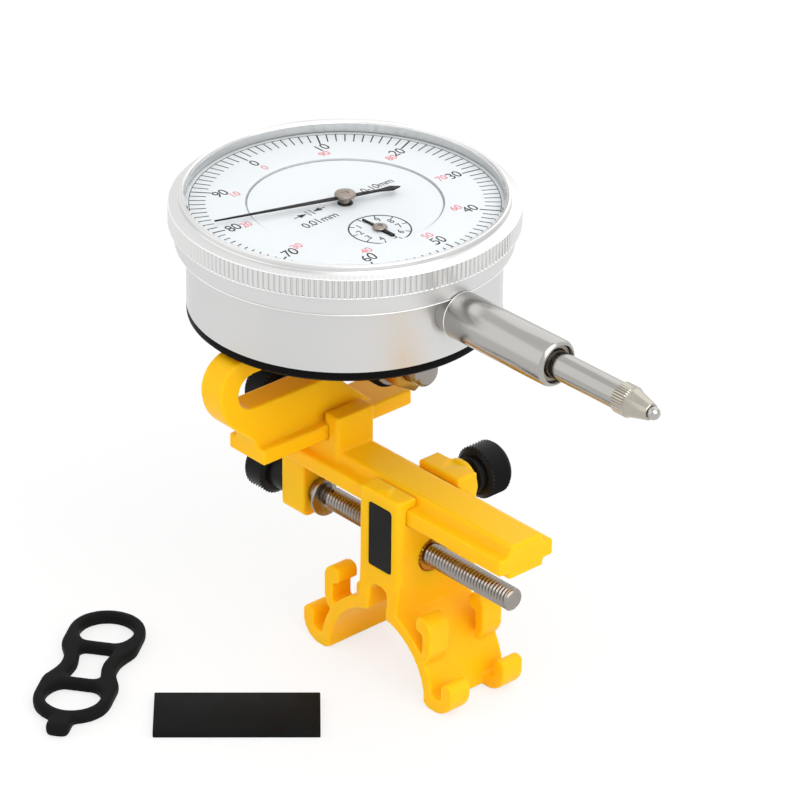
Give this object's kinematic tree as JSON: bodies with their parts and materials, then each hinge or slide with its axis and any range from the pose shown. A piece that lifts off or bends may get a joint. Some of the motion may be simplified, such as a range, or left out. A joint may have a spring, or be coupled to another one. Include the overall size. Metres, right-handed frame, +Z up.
{
  "type": "bicycle wheel truing stand",
  "caption": "Strap-on wheel truing gauge: a yellow saddle for a fork leg, two crossed slides and a dial indicator on a tilting arm.",
  "frame": {"origin": "on the axis of the saddle's arch, midway along it", "axes": "+X along the lower slide and the indicator's stem, +Y along the arch, +Z up through the block"},
  "size_m": [0.1091, 0.093, 0.0795],
  "materials": {
    "yellow_plastic": "moulded, satin gloss",
    "black_plastic": "moulded, knurled where gripped",
    "steel": "turned steel",
    "satin_chrome": "satin chrome plate",
    "brass": "turned brass",
    "bronze": "turned bronze",
    "crystal": "clear",
    "dial_white": "printed dial",
    "hand_black": "black enamel",
    "rubber": "moulded rubber"
  },
  "bodies": {
    "saddle": {"saddle": "yellow_plastic", "name_plate": "black_plastic", "thread_insert": "brass", "rail_clamp_insert": "brass", "rubber_strap": "rubber", "rubber_pad": "rubber"},
    "lower_rail": {"lower_rail": "yellow_plastic", "cross_clamp_insert": "brass"},
    "adjuster": {"adjusting_screw": "steel", "adjuster_knob": "black_plastic", "thrust_washer": "steel", "retaining_clip": "steel"},
    "rail_pad": {"rail_clamp_pad": "brass"},
    "rail_clamp": {"rail_clamp_screw": "steel", "rail_clamp_knob": "black_plastic"},
    "cross_pad": {"cross_clamp_pad": "brass"},
    "cross_clamp": {"cross_clamp_screw": "steel", "cross_clamp_knob": "black_plastic"},
    "cross_rail": {"cross_rail": "yellow_plastic", "pivot_bolt": "steel", "pivot_washer": "steel", "spring_washer": "steel", "pivot_nut": "brass"},
    "indicator": {"rear_cover": "black_plastic", "cover_screws": "steel", "dial_case": "satin_chrome", "stem": "steel", "stem_bush": "bronze", "spindle_cap": "steel", "movement_frame": "brass", "dial_face": "dial_white"},
    "bezel": {"bezel": "satin_chrome", "crystal": "crystal", "scale_ring": "dial_white"},
    "spindle": {"spindle": "steel", "contact_point": "steel", "contact_ball": "steel"},
    "main_hand": {"main_arbor": "steel", "main_hand": "hand_black", "main_hand_cap": "bronze"},
    "counter_hand": {"counter_arbor": "brass", "counter_hand": "hand_black", "counter_hand_cap": "bronze"}
  },
  "joints": [
    {"name": "rail_slide", "type": "slide", "parent": "saddle", "child": "lower_rail", "axis": [1, 0, 0], "range_m": [-0.017, 0.009]},
    {"name": "adjuster_turn", "type": "hinge", "parent": "lower_rail", "child": "adjuster", "pos_m": [0, 0, 0.0221], "axis": [1, 0, 0], "range_deg": [-8800, 4700]},
    {"name": "rail_clamp_slide", "type": "slide", "parent": "saddle", "child": "rail_pad", "axis": [0, 1, 0], "range_m": [0, 0.0014]},
    {"name": "rail_clamp_turn", "type": "hinge", "parent": "rail_pad", "child": "rail_clamp", "pos_m": [0, 0.01, 0.0304], "axis": [0, 1, 0], "range_deg": [0, 1010]},
    {"name": "cross_clamp_slide", "type": "slide", "parent": "lower_rail", "child": "cross_pad", "axis": [-1, 0, 0], "range_m": [0, 0.0014]},
    {"name": "cross_clamp_turn", "type": "hinge", "parent": "cross_pad", "child": "cross_clamp", "pos_m": [-0.03, 0, 0.03685], "axis": [-1, 0, 0], "range_deg": [0, 1010]},
    {"name": "cross_slide", "type": "slide", "parent": "lower_rail", "child": "cross_rail", "axis": [0, 1, 0], "range_m": [-0.009, 0.012]},
    {"name": "indicator_tilt", "type": "hinge", "parent": "cross_rail", "child": "indicator", "pos_m": [-0.016, 0.0074, 0.0493], "axis": [1, 0, 0], "range_deg": [-45, 0]},
    {"name": "bezel_turn", "type": "hinge", "parent": "indicator", "child": "bezel", "pos_m": [-0.02125, 0.0034, 0.074], "axis": [0, 0, 1], "continuous": true},
    {"name": "spindle_slide", "type": "slide", "parent": "indicator", "child": "spindle", "axis": [-1, 0, 0], "range_m": [0, 0.01], "stiffness_N_per_m": 60, "springref_m": -0.012},
    {"name": "main_hand_turn", "type": "hinge", "parent": "indicator", "child": "main_hand", "pos_m": [-0.02125, 0.0034, 0.077], "axis": [0, 0, 1], "range_deg": [-3610, 10]},
    {"name": "counter_hand_turn", "type": "hinge", "parent": "indicator", "child": "counter_hand", "pos_m": [-0.01035, 0.00126, 0.076], "axis": [0, 0, 1], "range_deg": [-5, 365]}
  ],
  "couplings": [
    {"joint": "adjuster_turn", "follows": "rail_slide", "rad_per_m": 8976},
    {"joint": "rail_clamp_turn", "follows": "rail_clamp_slide", "rad_per_m": 12566},
    {"joint": "cross_clamp_turn", "follows": "cross_clamp_slide", "rad_per_m": 12566},
    {"joint": "main_hand_turn", "follows": "spindle_slide", "rad_per_m": -6283.2},
    {"joint": "counter_hand_turn", "follows": "spindle_slide", "rad_per_m": 628.32}
  ]
}
